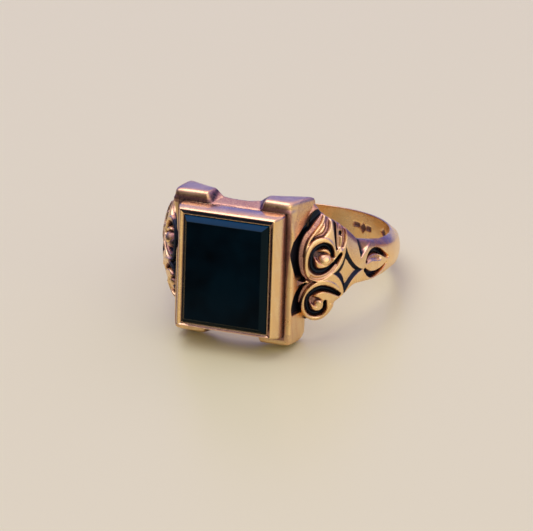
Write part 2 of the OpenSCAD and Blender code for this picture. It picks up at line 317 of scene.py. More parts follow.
class Relief:
    """The carving worked out once on a fine grid, and read off between its points."""

    def __init__(self, low=(24.0, -5.0), high=(90.0, 7.0), pitch=(0.1, 0.02)):
        self.low, self.pitch = low, pitch
        angle = np.arange(low[0], high[0], pitch[0])
        z = np.arange(low[1], high[1], pitch[1])
        self.map = carving(angle[:, None], z[None, :])

    def __call__(self, angle, z):
        u = np.clip((angle - self.low[0]) / self.pitch[0], 0, self.map.shape[0] - 1.001)
        v = np.clip((z - self.low[1]) / self.pitch[1], 0, self.map.shape[1] - 1.001)
        i, j = u.astype(int), v.astype(int)
        a, b = u - i, v - j
        m = self.map
        near = m[i, j] * (1 - b) + m[i, j + 1] * b
        far = m[i + 1, j] * (1 - b) + m[i + 1, j + 1] * b
        return near * (1 - a) + far * a


relief = Relief()


def polar(p):
    """Radius, angle from the stone towards the nearer side, and height of points."""
    r = np.hypot(p[:, 0], p[:, 1])
    return r, np.degrees(np.arctan2(np.abs(p[:, 0]), -p[:, 1])), p[:, 2]


def outline_field(angle, z):
    """Below zero between the hoop's upper and lower edges, the lower scroll included."""
    top = z - smooth_along(UPPER, angle, 1.5)
    low = smooth_along(LOWER, angle, 1.5) - z
    wide, tall = SCROLL_LOW_R
    ring = np.hypot((angle - SCROLL_LOW[0]) * DEGREE / wide, (z - SCROLL_LOW[1]) / tall)
    scroll = (ring - 1) * min(wide, tall)
    return round_max(top, round_min(low, scroll, 0.15), OUTLINE_ROUND)


def carved_radius(angle, z):
    """Radius of the hoop's outer surface with its carving."""
    return round_max(plain_radius(angle, z) + relief(angle, z), FINGER_R + THIN, OUTLINE_ROUND)


def hoop_field(r, angle, z, carved=True):
    """Below zero inside the hoop's metal."""
    plain = plain_radius(angle, z)
    outer = r - np.minimum(carved_radius(angle, z) if carved else plain, plain + PROUD)
    edges = outline_field(angle, z)
    return round_max(round_max(0.85 * outer, edges, EDGE_ROUND), FINGER_R - r, BORE_ROUND)


def off_bore(r, clean, full):
    """0 on the finger hole's wall and 1 away from it."""
    return smoothstep(FINGER_R + clean, FINGER_R + full, r)


# ---------- meshes

def new_object(name, data):
    obj = bpy.data.objects.new(name, data)
    bpy.context.scene.collection.objects.link(obj)
    return obj


def add_mesh(name, verts, faces):
    """A smooth mesh object from points in millimetres on the upright ring."""
    mesh = bpy.data.meshes.new(name)
    co = (np.asarray(verts, float) * MM) @ LAY.T
    mesh.from_pydata(co.tolist(), [], [list(map(int, f)) for f in faces])
    mesh.validate()
    mesh.update()
    mesh.shade_smooth()
    return new_object(name, mesh)


def surface_nets(field, low, high, step):
    """A quad mesh of the surface where field(points) is zero; negative is inside."""
    low, high = np.array(low, float), np.array(high, float)
    n = np.ceil((high - low) / step).astype(int) + 1
    axes = [low[i] + step * np.arange(n[i]) for i in range(3)]
    values = np.empty(n, np.float32)
    for i, x in enumerate(axes[0]):
        y, z = np.meshgrid(axes[1], axes[2], indexing="ij")
        pts = np.stack([np.full(y.size, x), y.ravel(), z.ravel()], 1)
        values[i] = field(pts).reshape(y.shape)
    inside = values < 0
    corners = [(a, b, c) for a in (0, 1) for b in (0, 1) for c in (0, 1)]

    def shifted(array, c):
        return array[tuple(slice(s, s + m - 1) for s, m in zip(c, n))]

    total = sum(shifted(inside, c).astype(np.int8) for c in corners)
    cells = np.argwhere((total > 0) & (total < 8))
    index = np.full(n, -1, np.int64)
    index[tuple(cells.T)] = np.arange(len(cells))
    at = {c: values[tuple((cells + c).T)] for c in corners}
    place = np.zeros((len(cells), 3))
    count = np.zeros(len(cells))
    for c in corners:
        for axis in range(3):
            if c[axis]:
                continue
            d = tuple(1 if k == axis else c[k] for k in range(3))
            a, b = at[c], at[d]
            cut = (a < 0) != (b < 0)
            t = np.where(cut, a / np.where(cut, a - b, 1), 0)
            point = np.array(c, float) + t[:, None] * (np.array(d) - np.array(c))
            place += point * cut[:, None]
            count += cut
    verts = low + step * (cells + place / count[:, None])
    faces = []
    for axis in range(3):
        u, v = (axis + 1) % 3, (axis + 2) % 3
        first = np.take(inside, range(n[axis] - 1), axis)
        second = np.take(inside, range(1, n[axis]), axis)
        edges = np.argwhere(first != second)
        edges = edges[(edges[:, u] > 0) & (edges[:, v] > 0)]
        du, dv = np.eye(3, dtype=int)[u], np.eye(3, dtype=int)[v]
        quad = np.stack([index[tuple((edges - s).T)] for s in (du + dv, dv, 0 * du, du)], 1)
        flip = ~first[tuple(edges.T)]
        quad[flip] = quad[flip][:, ::-1]
        faces.append(quad[(quad >= 0).all(1)])
    return verts, np.vstack(faces)


def gradient(field, p, h=0.01):
    """The field's slope at each point, from the values a small way to either side."""
    out = np.empty_like(p)
    for k in range(3):
        d = np.zeros(3)
        d[k] = h
        out[:, k] = (field(p + d) - field(p - d)) / (2 * h)
    return out


def settle(field, verts, rounds=2, reach=0.04):
    """Moves the points onto the surface, a short way along its slope."""
    for _ in range(rounds):
        f, g = field(verts), gradient(field, verts)
        move = -f[:, None] * g / np.maximum((g * g).sum(1), 0.05)[:, None]
        size = np.linalg.norm(move, axis=1, keepdims=True)
        verts = verts + move * np.minimum(1, reach / np.maximum(size, 1e-9))
    return verts


def shelter(field, verts, reaches=(0.15, 0.35, 0.7)):
    """How far each point lies in a hollow, from 0 in the open to 1 in a deep groove."""
    g = gradient(field, verts)
    normal = g / np.maximum(np.linalg.norm(g, axis=1, keepdims=True), 1e-9)
    hidden = np.zeros(len(verts))
    for reach in reaches:
        hidden += np.clip(1 - field(verts + normal * reach) / reach, 0, 1.5) / len(reaches)
    return np.clip(hidden, 0, 1)


def set_value(obj, name, values):
    """Stores one number per vertex for the materials to read."""
    layer = obj.data.attributes.new(name, "FLOAT", "POINT")
    layer.data.foreach_set("value", np.asarray(values, np.float32))


def field_piece(name, field, box, step, patina):
    """A mesh object of the surface where a field is zero, with its patina and painted shade."""
    verts, faces = surface_nets(field, *box, step)
    verts = settle(field, verts)
    obj = add_mesh(name, verts, faces)
    set_value(obj, "patina", patina(verts))
    return obj


def skin(rows, cols, spans):
    """Faces between each ring of points and the next one, each ring going once round."""
    faces = []
    for i in range(spans):
        for j in range(cols):
            k, m = (j + 1) % cols, (i + 1) % rows
            faces.append((i * cols + j, i * cols + k, m * cols + k, m * cols + j))
    return faces


def loft(name, rings):
    """A skin over rings of points, closed by a cap at each end."""
    rows, cols = rings.shape[:2]
    faces = skin(rows, cols, rows - 1)
    faces.append(tuple(range(cols))[::-1])
    faces.append(tuple((rows - 1) * cols + j for j in range(cols)))
    return add_mesh(name, rings.reshape(-1, 3), faces)


def mirror(mesh):
    """Turns a mesh into its twin on the ring's other side."""
    mesh.transform(Matrix.Scale(-1, 4, (1, 0, 0)))
    mesh.flip_normals()


def mirrored(obj, name):
    """A second piece, the same as the first on the ring's other side."""
    mesh = obj.data.copy()
    mesh.name = name
    mirror(mesh)
    return new_object(name, mesh)


# ---------- camera

VIEW_AZIMUTH, VIEW_HEIGHT, VIEW_ROLL = 24.593, 14.388, 1.883  # degrees, on the upright ring
VIEW_DISTANCE = 398.9  # millimetres
VIEW_SLIDE = (1.625, 1.890)  # how far the ring sits to the right and up, in millimetres
VIEW_LENS, SENSOR = 290.56, 36  # millimetres


def make_camera():
    """Looks at the ring from where the photo was taken."""
    az, el, roll = (math.radians(v) for v in (VIEW_AZIMUTH, VIEW_HEIGHT, VIEW_ROLL))
    back = Vector((math.sin(az) * math.cos(el), -math.cos(az) * math.cos(el), math.sin(el)))
    flat = Vector((math.cos(az), math.sin(az), 0))
    rise = back.cross(flat)
    right = flat * math.cos(roll) + rise * math.sin(roll)
    up = rise * math.cos(roll) - flat * math.sin(roll)
    place = back * VIEW_DISTANCE - right * VIEW_SLIDE[0] - up * VIEW_SLIDE[1]
    turn = Matrix((right, up, back)).transposed().to_4x4()
    data = bpy.data.cameras.new("camera")
    data.lens = VIEW_LENS
    data.sensor_width = SENSOR
    data.clip_start, data.clip_end = 0.02, 20
    camera = new_object("camera", data)
    lay = Matrix.Rotation(-LIE, 4, "X")
    camera.matrix_world = lay @ Matrix.Translation(place * MM) @ turn
    bpy.context.scene.camera = camera


# ---------- materials

def new_material(name):
    mat = bpy.data.materials.new(name)
    mat.use_nodes = True
    mat.node_tree.nodes.clear()
    return mat, mat.node_tree


def node(tree, kind, inputs=None, **settings):
    """A shader node; each input is another node's output, a number, a vector or a colour."""
    n = tree.nodes.new(kind)
    for key, value in settings.items():
        setattr(n, key, value)
    for key, value in (inputs or {}).items():
        socket = n.inputs[key]
        if isinstance(value, bpy.types.NodeSocket):
            tree.links.new(value, socket)
        else:
            socket.default_value = (*value, 1) if socket.type == "RGBA" else value
    return n


def maths(tree, operation, a, b=0.0, clamp=False):
    n = node(tree, "ShaderNodeMath", {0: a, 1: b}, operation=operation, use_clamp=clamp)
    return n.outputs[0]


def spread(tree, value, low, high, to_low=0.0, to_high=1.0):
    """Maps the range from low to high onto another range, and keeps within it."""
    n = node(tree, "ShaderNodeMapRange", {"Value": value, "From Min": low, "From Max": high,
                                          "To Min": to_low, "To Max": to_high}, clamp=True)
    return n.outputs["Result"]


def blend_colour(tree, factor, a, b):
    """Goes from colour a to colour b as the factor goes from 0 to 1."""
    return node(tree, "ShaderNodeMix", {0: factor, 6: a, 7: b}, data_type="RGBA").outputs[2]


def attribute(tree, name):
    return node(tree, "ShaderNodeAttribute", attribute_name=name).outputs["Fac"]


def shade(tree, inputs):
    """Ends a material with its shader."""
    shader = node(tree, "ShaderNodeBsdfPrincipled", inputs)
    node(tree, "ShaderNodeOutputMaterial", {"Surface": shader.outputs[0]})


def noise(tree, scale, detail=3.0, rough=0.55, stretch=(1, 1, 1), turn=(0, 0, 0)):
    """Noise whose grains are 1 / scale millimetres across."""
    place = node(tree, "ShaderNodeTexCoord").outputs["Object"]
    scales = tuple(s / MM for s in stretch)
    mapped = node(tree, "ShaderNodeMapping",
                  {"Vector": place, "Scale": scales, "Rotation": turn}).outputs[0]
    return node(tree, "ShaderNodeTexNoise", {"Vector": mapped, "Scale": scale, "Detail": detail,
                                             "Roughness": rough}).outputs["Fac"]


GOLD = (0.92, 0.61, 0.29)
GOLD_PALE = (0.94, 0.68, 0.37)
GOLD_RED = (0.74, 0.41, 0.21)
FILM_AND_SHADE = (0.35, 0.150, 0.148)  # tint of a thin film and of painted shade where the metal is a little sheltered, partly a painted pinkish reflection
PATINA_AND_SHADE = (0.022, 0.029, 0.044)  # the deposit in the hollows, also painted shade in deep grooves, gaps and the pin hole
TARNISH = (0.72, 0.25, 0.06)  # the brown rim where the band begins
FILM_AND_SHADE_GROWS = (0.10, 0.50)  # values over which the film and painted shade thicken
DARK_GROWS = (0.48, 0.85)  # values over which the deposit and painted shade cover the film


def gold_material(name, base=GOLD, rough=0.27, tarnish=0.35, pale=GOLD_PALE, red=GOLD_RED):
    """Worn rose gold: dark patina and painted shade in the hollows, a film tint that is partly painted
    shade and a painted pinkish reflection, fine scratches, pits and cloudy tarnish.
    """
    mat, tree = new_material(name)
    hollow = attribute(tree, "patina")
    cloud = noise(tree, 0.9, 4)
    grain = noise(tree, 7.0, 4, 0.6)
    streak = noise(tree, 2.2, 3, 0.6, stretch=(1, 1, 0.12), turn=(0.2, 0.5, 0.1))
    fine = noise(tree, 26.0, 2, 0.7, stretch=(0.15, 1, 1), turn=(0.4, 0.1, 0.9))
    wavy = maths(tree, "ADD", hollow, spread(tree, grain, 0.3, 0.7, -0.12, 0.12))
    dark = spread(tree, wavy, *DARK_GROWS)
    warm = blend_colour(tree, spread(tree, cloud, 0.35, 0.65), base, pale)
    worn = blend_colour(tree, spread(tree, streak, 0.45, 0.75, 0, tarnish), warm, red)
    # film and deposit: patina, painted shade and a painted pinkish reflection, by the per-vertex value
    film_and_shade = blend_colour(tree, spread(tree, wavy, *FILM_AND_SHADE_GROWS, 0, 0.85), worn, FILM_AND_SHADE)
    filled = blend_colour(tree, dark, film_and_shade, PATINA_AND_SHADE)
    colour = blend_colour(tree, attribute(tree, "brown"), filled, TARNISH)
    pits = spread(tree, noise(tree, 5.5, 1, 0.5), 0.70, 0.78)
    scratches = spread(tree, fine, 0.62, 0.80)
    low = maths(tree, "ADD", spread(tree, cloud, 0.3, 0.7, rough - 0.05, rough + 0.07),
                maths(tree, "MULTIPLY", scratches, 0.12))
    gloss = maths(tree, "ADD", low, maths(tree, "MULTIPLY", dark, 0.22), clamp=True)
    height = maths(tree, "ADD", maths(tree, "MULTIPLY", grain, 0.5),
                   maths(tree, "SUBTRACT", maths(tree, "MULTIPLY", fine, 0.35),
                         maths(tree, "MULTIPLY", pits, 1.2)))
    bump = node(tree, "ShaderNodeBump", {"Height": height, "Distance": 0.03 * MM, "Strength": 0.4})
    shade(tree, {"Base Color": colour, "Roughness": gloss, "Normal": bump.outputs[0], "Metallic": 1.0})
    return mat


def onyx_material():
    """Polished onyx: almost black, a little teal, with a painted reflection that makes its thin
    bevelled edges lighter and bluer.
    """
    mat, tree = new_material("onyx")
    cloud = noise(tree, 0.25, 2)
    table = blend_colour(tree, spread(tree, cloud, 0.35, 0.65), (0.0008, 0.0024, 0.0040),
                         (0.0010, 0.0076, 0.0130))
    # the edge value carries the painted reflection on the bevel
    edge = attribute(tree, "edge")
    side = blend_colour(tree, spread(tree, edge, 0.0, 0.5), table, (0.004, 0.013, 0.017))
    colour = blend_colour(tree, spread(tree, edge, 0.5, 1.0), side, (0.0008, 0.048, 0.118))
    gloss = spread(tree, noise(tree, 1.2, 3, 0.6, stretch=(1, 1, 0.3)), 0.3, 0.7, 0.05, 0.10)
    shade(tree, {"Base Color": colour, "Roughness": gloss, "Specular IOR Level": 0.04, "IOR": 1.54})
    return mat


def cement_material():
    """Brown shellac."""
    mat, tree = new_material("shellac")
    colour = blend_colour(tree, spread(tree, noise(tree, 3.0), 0.35, 0.65), (0.10, 0.04, 0.02),
                          (0.20, 0.09, 0.05))
    bump = node(tree, "ShaderNodeBump", {"Height": noise(tree, 6.0), "Distance": 0.04 * MM})
    shade(tree, {"Base Color": colour, "Normal": bump.outputs[0], "Roughness": 0.6})
    return mat


# ---------- stage

FLOOR_HALF = 0.25  # half the floor's width, in metres
FLOOR_COLOUR = (0.69, 0.70, 0.405)


def make_stage():
    """A plain floor that the ring's lowest point rests on."""
    lowest = cad_box[0][2]
    corners = [(-1, -1), (1, -1), (1, 1), (-1, 1)]
    mesh = bpy.data.meshes.new("floor")
    verts = [(x * FLOOR_HALF, y * FLOOR_HALF, lowest) for x, y in corners]
    mesh.from_pydata(verts, [], [(0, 1, 2, 3)])
    floor = new_object("floor", mesh)
    mat, tree = new_material("pale_floor")
    shade(tree, {"Base Color": FLOOR_COLOUR, "Roughness": 0.34, "Specular IOR Level": 0.4})
    mesh.materials.append(mat)


# The room, seen from the ring: dark in front on the left, cream on the right, cool window light
# behind and above
ROOM_LEFT = (0.05, 0.045, 0.06)
ROOM_RIGHT = (0.95, 0.84, 0.60)
ROOM_BACK = (0.16, 0.26, 1.25)
ROOM_TOP = (1.15, 0.92, 1.50)
ROOM_STRENGTH = 0.75
BACKDROP = (0.86, 0.77, 0.66)  # what shows past the floor's edge in low views
# Each lamp is (name, place and size in metres, power in watts, colour)
LAMPS = [("window", (-0.16, 0.06, 0.70), (0.60, 0.55), 2.15, (1.0, 0.94, 0.92)),
         ("fill", (0.45, -0.30, 0.40), (0.5, 0.5), 0.7, (1.0, 0.93, 0.82))]


def area_light(name, place, size, power, colour):
    """A rectangular lamp that faces the ring."""
    data = bpy.data.lights.new(name, "AREA")
    data.shape = "RECTANGLE"
    data.size, data.size_y = size
    data.energy = power
    data.color = colour
    lamp = new_object(name, data)
    lamp.location = place
    lamp.rotation_euler = (-Vector(place)).to_track_quat("-Z", "Y").to_euler()


def make_lights():
    """A room of soft colours round the ring, and two broad lamps."""
    world = bpy.data.worlds.new("soft_studio")
    bpy.context.scene.world = world
    world.use_nodes = True
    tree = world.node_tree
    tree.nodes.clear()
    way = node(tree, "ShaderNodeTexCoord").outputs["Generated"]
    axes = node(tree, "ShaderNodeSeparateXYZ", {"Vector": way}).outputs
    across = blend_colour(tree, spread(tree, axes["X"], -0.5, 0.5), ROOM_LEFT, ROOM_RIGHT)
    level = blend_colour(tree, spread(tree, axes["Y"], -0.2, 0.75), across, ROOM_BACK)
    height = maths(tree, "ADD", axes["Z"], maths(tree, "MULTIPLY", axes["Y"], 0.2))
    sky = blend_colour(tree, spread(tree, height, 0.32, 0.85), level, ROOM_TOP)
    direct = node(tree, "ShaderNodeLightPath").outputs["Is Camera Ray"]
    shown = blend_colour(tree, direct, sky, BACKDROP)
    light = node(tree, "ShaderNodeBackground", {"Color": shown, "Strength": ROOM_STRENGTH})
    node(tree, "ShaderNodeOutputWorld", {"Surface": light.outputs[0]})
    for name, place, size, power, colour in LAMPS:
        area_light(name, place, size, power, colour)


# ---------- the pieces

def finish_piece(obj, material, slot_name, *nodes):
    """Gives a piece its material, hangs it under the root and hides the CAD nodes it stands for."""
    obj.data.materials.clear()
    obj.data.materials.append(material)
    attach(obj, "root")
    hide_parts(*nodes)


SHOULDER_START_X = 5.15  # the right shoulder starts here, inside the head
SHOULDER_END = 76.0  # the angle at which a shoulder meets its seam
SEAM_ANGLE = 0.64  # degrees that the seam takes up between a shoulder and the band
BORE_RECESS = 0.06  # how far a shoulder's bore is set back where it runs inside the head
SHOULDER_BOX = ((5.0, -11.3, -4.6), (11.0, -2.2, 7.1))  # corners of the space it is meshed in
SHOULDER_STEP = 0.055  # width of the mesh's cells
BORE_DEGREE = FINGER_R * math.pi / 180  # length of a degree on the finger hole's wall


def shoulder_field(p):
    """Below zero inside the right shoulder."""
    r, angle, z = polar(p)
    behind_head = 1 - smoothstep(HEAD_BACK_X - 0.25, HEAD_BACK_X - 0.1, p[:, 0])
    solid = np.maximum(hoop_field(r, angle, z), FINGER_R + BORE_RECESS * behind_head - r)
    end = (angle - SHOULDER_END) * BORE_DEGREE
    start = SHOULDER_START_X - p[:, 0]
    return np.maximum(np.maximum(solid, end), start)


def carved_dark(depth):
    """How dark a hollow is painted for its depth below the plain hoop, in millimetres: patina and
    painted shade.
    """
    return 0.45 * smoothstep(0.08, 0.28, depth) + 0.5 * smoothstep(0.40, 0.60, depth)


def shoulder_patina_and_shade(verts):
    """Patina and painted shade where the carving is deep and sheltered, painted shade on the star's
    walls, the notch's steep side, the pin hole, the upper edge and the tip inside the head; clean
    inside the finger hole.
    """
    r, angle, z = polar(verts)
    # painted shade in hollows, from how sheltered each point is
    hidden = shelter(lambda q: hoop_field(*polar(q)), verts)
    star = polygon_distance((angle - STAR_AT[0]) * DEGREE, z - STAR_AT[1], star_corners())
    share = -star / star_wall(angle)
    walls = 0.95 * smoothstep(0.0, 0.15, share) * (1 - smoothstep(0.88, 1.12, share))
    notch = polygon_distance(angle * DEGREE, z, np.array(NOTCH) * [DEGREE, 1])
    cut = smoothstep(-0.02, 0.06, -notch) * (0.9 - 0.62 * smoothstep(0.4, 1.1, notch_run(angle, z)))
    dark = carved_dark(plain_radius(angle, z) - carved_radius(angle, z)) + 0.4 * hidden
    dark = np.where(star < 0, walls, np.where(notch < 0, cut, dark))
    # painted shade on the tip inside the head, in place of a bright reflection
    tip = 0.6 * (1 - smoothstep(32.5, 34.5, angle))
    rim = upper_edge_shade(angle, z) * (angle > 50)
    dark = np.maximum(np.maximum(dark, pin_hole(angle, z)), rim + tip)
    return np.clip(dark * off_bore(r, 0.05, 0.25), 0, 1)


CREVICE = (38.5, 42.0)  # angles over which the painted shade beside the head fades out


def shade_beside_head(obj):
    """Paints shade into the crevice between the left shoulder and the head."""
    layer = obj.data.attributes["patina"].data
    dark = np.empty(len(layer), np.float32)
    verts = np.empty(3 * len(layer), np.float32)
    layer.foreach_get("value", dark)
    obj.data.vertices.foreach_get("co", verts)
    r, angle, _ = polar(verts.reshape(-1, 3) @ LAY / MM)
    filled = 0.9 * off_bore(r, 0.05, 0.25) * (1 - smoothstep(*CREVICE, angle))
    layer.foreach_set("value", np.maximum(dark, filled))


def make_shoulders():
    """The right shoulder, and its mirror image with painted shade in its crevice."""
    right = field_piece("carved_shoulder_right", shoulder_field, SHOULDER_BOX, SHOULDER_STEP,
                        shoulder_patina_and_shade)
    gold = gold_material("carved_gold")
    left = mirrored(right, "carved_shoulder_left")
    shade_beside_head(left)
    finish_piece(left, gold, "carved_gold", "shoulder_left")
    finish_piece(right, gold, "carved_gold", "shoulder_right")


SECTION_MIDDLE = 0.5  # how far from the finger hole's wall the section's rays start
RAY_REACH = 4.0  # longer than any ray from the section's middle to its surface
HALVINGS = 26  # rounds of halving that find where a ray leaves the metal


def ring_section(angles, turns):
    """Points round the hoop's section at each angle: found along rays, then carved."""
    a, t = angles[:, None], turns[None, :]
    mid_r = FINGER_R + SECTION_MIDDLE
    mid_z = lift(a)
    low, high = np.zeros((a.size, t.size)), np.full((a.size, t.size), RAY_REACH)
    for _ in range(HALVINGS):
        mid = (low + high) / 2
        r = mid_r + mid * np.cos(t)
        z = mid_z + mid * np.sin(t)
        metal = hoop_field(r, np.broadcast_to(a, r.shape), z, carved=False) < 0
        low, high = np.where(metal, mid, low), np.where(metal, high, mid)
    r = mid_r + low * np.cos(t)
    z = mid_z + low * np.sin(t)
    a = np.broadcast_to(a, r.shape)
    return r + off_bore(r, 0.15, 0.35) * (carved_radius(a, z) - plain_radius(a, z)), z


def along_rim(angle, z, near, far):
    """1 on the hoop's upper edge, falling to 0 between two distances below it."""
    return 1 - smoothstep(near, far, smooth_along(UPPER, angle, 1.5) - z)


def upper_edge_shade(angle, z):
    """Painted shade along the hoop's upper edge, from the shoulders to the start of the band."""
    return 0.52 * along_rim(angle, z, 0.45, 0.95) * (1 - smoothstep(86, 112, angle))


def hoop_patina_and_shade(angle, r, z):
    """Patina and painted shade on the band's outside in the carving, and painted shade along its edge.
    """
    depth = plain_radius(angle, z) - carved_radius(angle, z)
    return off_bore(r, 0.01, 0.08) * np.maximum(carved_dark(depth), upper_edge_shade(angle, z))


def rim_brown(angle, r, z):
    """Brown tarnish on the upper rim where the band begins."""
    begins = smoothstep(73, 78, angle) * (1 - smoothstep(84, 97, angle))
    return 0.85 * off_bore(r, 0.01, 0.08) * along_rim(angle, z, 0.35, 0.75) * begins


# Blank struck marks inside the band's right half: angle, height, half sizes, True for a diamond
STRUCK_MARKS = [
    (150.2, 0.46, 0.52, 0.28, False), (154.9, 0.40, 0.58, 0.62, True),
    (160.0, 0.55, 0.56, 0.27, False), (132.2, 0.80, 0.78, 0.44, True)]
MARK_DEPTH = 0.09
MARKED = (122, 168)  # the angles between which the marks lie


def mark_depth(angle, z, side):
    """Depth of the struck marks, on the side of the ring that has them."""
    depth = np.zeros(np.broadcast(angle, z).shape)
    for a, h, wide, tall, diamond in STRUCK_MARKS:
        x = np.abs((angle - a) * BORE_DEGREE) / wide
        y = np.abs(z - h) / tall
        shape = (x + y) if diamond else (x ** 4 + y ** 4) ** 0.25
        depth = np.maximum(depth, MARK_DEPTH * (1 - smoothstep(0.45, 1.1, shape)))
    return depth * side


def hoop_points(angles, r, z):
    """Points on the upright ring from angle, radius and height."""
    a = np.radians(angles)[:, None]
    return np.stack([r * np.sin(a), -r * np.cos(a), z], -1)


def folded(angles):
    """The same angles measured on the nearer side of the ring."""
    return np.where(angles > 180, 360 - angles, angles)


def hoop_piece(name, angles, r, z, dents=0):
    """A stretch of the hoop from its sections, with patina and painted shade in its carving and painted
    shade along its rim.
    """
    piece = loft(name, hoop_points(angles, r, z)[:, ::-1])
    angle = np.broadcast_to(folded(angles)[:, None], r.shape)
    set_value(piece, "patina", (dents + hoop_patina_and_shade(angle, r, z))[:, ::-1].ravel())
    set_value(piece, "brown", rim_brown(angle, r, z)[:, ::-1].ravel())
    return piece


def band_angles():
    """Where the band's rings of points lie: close together in the carving and at the marks."""
    carved = np.linspace(SHOULDER_END + SEAM_ANGLE, CARVED_TO, 46)
    plain = np.linspace(CARVED_TO, MARKED[0], 30)[1:]
    marked = np.linspace(*MARKED, 150)[1:]
    far = np.linspace(MARKED[1], 360 - CARVED_TO, 70)[1:-1]
    return np.concatenate([carved, plain, marked, far, 360 - carved[::-1]])


def section_turns():
    """Directions of the rays that give even steps along the section's outer and inner side."""
    outer = np.arctan(np.linspace(-3.2, 3.2, 81) / 0.9)
    inner = np.pi + np.arctan(np.linspace(-2.6, 2.6, 61) / 0.55)
    return np.unique(np.round(np.mod(np.concatenate([outer, inner]), 2 * np.pi), 6))


def make_band():
    """The plain back of the hoop, with the ends of the carving and the struck marks."""
    angles = band_angles()
    turns = section_turns()
    r, z = ring_section(folded(angles), turns)
    facing = smoothstep(-0.2, -0.8, np.cos(turns))[None, :]
    dent = mark_depth(angles[:, None], z, (angles < 180)[:, None]) * (r < FINGER_R + 0.05)
    band = hoop_piece("band", angles, r + dent * facing, z, dent / MARK_DEPTH * 0.72)
    gold = gold_material("band_gold", base=(0.95, 0.61, 0.27), rough=0.22, tarnish=0.25)
    finish_piece(band, gold, "band_gold", "shank")


SEAM_PROUD = 0.004  # how far the seams stand above the metal on either side
SEAM_LAP = (0.2, 0.1)  # how far they reach into the shoulder and into the band, in degrees


def make_seams():
    """The soldered seams between the shoulders and the band."""
    gold = gold_material("seam_gold", base=(0.82, 0.50, 0.26), rough=0.29)
    turns = section_turns()
    for side in ("right", "left"):
        ends = np.linspace(SHOULDER_END - SEAM_LAP[0], SHOULDER_END + SEAM_ANGLE + SEAM_LAP[1], 5)
        r, z = ring_section(ends, turns)
        seam = hoop_piece("seam_" + side, ends, r + SEAM_PROUD * off_bore(r, 0, 0.3), z)
        if side == "left":
            mirror(seam.data)
        finish_piece(seam, gold, "solder", "solder_shank_" + side)


EAR_GAP = 2.8  # half width of the saddle between two ears
EAR_SPREAD = (-0.35, 0.45)  # how far the upper ears spread sideways, at the right front and back
EAR_RISE = 0.13  # makes up for what the rounding takes off the upper ears
FLARE_DEPTH = 3.34  # how far behind the ledge the head is as wide as at the finger hole
EAR_HEIGHTS = (3.6, 6.2)  # the ears spread more and more between these heights
HEAD_BOX = ((-6.7, -11.2, -6.7), (6.7, -6.8, 7.4))  # corners of the space the head is meshed in
HEAD_STEP = 0.075  # width of the mesh's cells


def head_end(x, d, z):
    """Height of the head's end faces: a pair of ears with a saddle between them, at each end."""
    back = np.clip((LEDGE - d) / (LEDGE - FINGER_R), 0, 1.6)
    wide = 0.28 + 0.75 * back
    ear = smoothstep(EAR_GAP - wide, EAR_GAP + 0.12, np.abs(x))
    floor = np.where(z > 0, BEZEL_TOP, BEZEL_FOOT) + 0.02 + 0.48 * back
    tip = np.where(z > 0, HEAD_TOP + EAR_RISE + 0.03 * back, HEAD_FOOT - 0.06 + 0.012 * x)
    return floor + (tip - floor) * ear


# Hollows carved into the head's sides: middle and half sizes in Y and Z, lowest height, and the
# greatest height at the head's back with its rise per millimetre of Y
COVES = [((-8.2, 2.15), (2.8, 3.2), -0.2, 5.2, 0.58), ((-8.9, -2.9), (1.92, 1.9), -3.6, -0.75, 0)]
COVE_DEPTH = 0.38


def cove_share(y, z):
    """1 inside the hollows of the head's sides, 0 outside them."""
    share = np.zeros(len(y))
    for (cy, cz), (ry, rz), low, high, slant in COVES:
        ring = (np.hypot((y - cy) / ry, (z - cz) / rz) - 1) * min(ry, rz)
        edge = np.maximum(ring, np.maximum(low - z, z - high - slant * (y + HEAD_BACK_D)))
        share = np.maximum(share, 1 - smoothstep(-0.28, 0.02, edge))
    return share


def head_field(p):
    """Below zero inside the head."""
    x, d, z = np.abs(p[:, 0]), -p[:, 1], p[:, 2]
    back = np.clip((LEDGE - d) / FLARE_DEPTH, 0, 1.2)
    top = smoothstep(*EAR_HEIGHTS, z)
    right_ear = EAR_SPREAD[0] + (EAR_SPREAD[1] - EAR_SPREAD[0]) * back
    ear = np.where(p[:, 0] > 0, right_ear, EAR_SPREAD[1])
    flare = (HEAD_BACK_X - HEAD_FRONT_X) * back + top * ear
    side = x - (HEAD_FRONT_X + flare - COVE_DEPTH * cove_share(p[:, 1], z))
    end = 0.9 * (np.abs(z) - head_end(p[:, 0], d, z))
    # the corner between the lower end and the back is cut off at 45 degrees
    low_corner = (-z - HEAD_FOOT) * 0.7 + (HEAD_BACK_D + 0.75 - d) * 0.7
    front_round = 0.26 + 0.20 * smoothstep(BEZEL_TOP, BEZEL_TOP + 0.4, z)
    block = round_max(round_max(side, end, 0.34), d - LEDGE, front_round)
    block = round_max(block, np.maximum(low_corner, HEAD_BACK_D - EAR_SPREAD[1] * top - d), 0.25)
    block = round_max(block, FINGER_R - np.hypot(p[:, 0], p[:, 1]), 0.05)
    pocket = np.maximum(x - STONE_X, np.abs(z) - STONE_Z)
    return np.maximum(block, -pocket)


def ledge_shade(verts, beside, above):
    """Painted shade on the ledge round the bezel: along the right side, the left side and both ends."""
    z = verts[:, 2]
    reach = 0.12 + 0.40 * smoothstep(-1.5, 3.5, z)
    on_right = 0.52 * (1 - smoothstep(0.5 * reach, reach + 0.06, beside))
    on_left = 0.7 * (1 - smoothstep(0.42, 0.56, beside))
    along_sides = np.where(verts[:, 0] < 0, on_left, on_right) * (above < 0.3)
    along_ends = np.where(z > 0, 0.46, 0.2) * (1 - smoothstep(0.35, 0.70, above)) * (above > -0.3)
    return np.maximum(along_sides, along_ends)


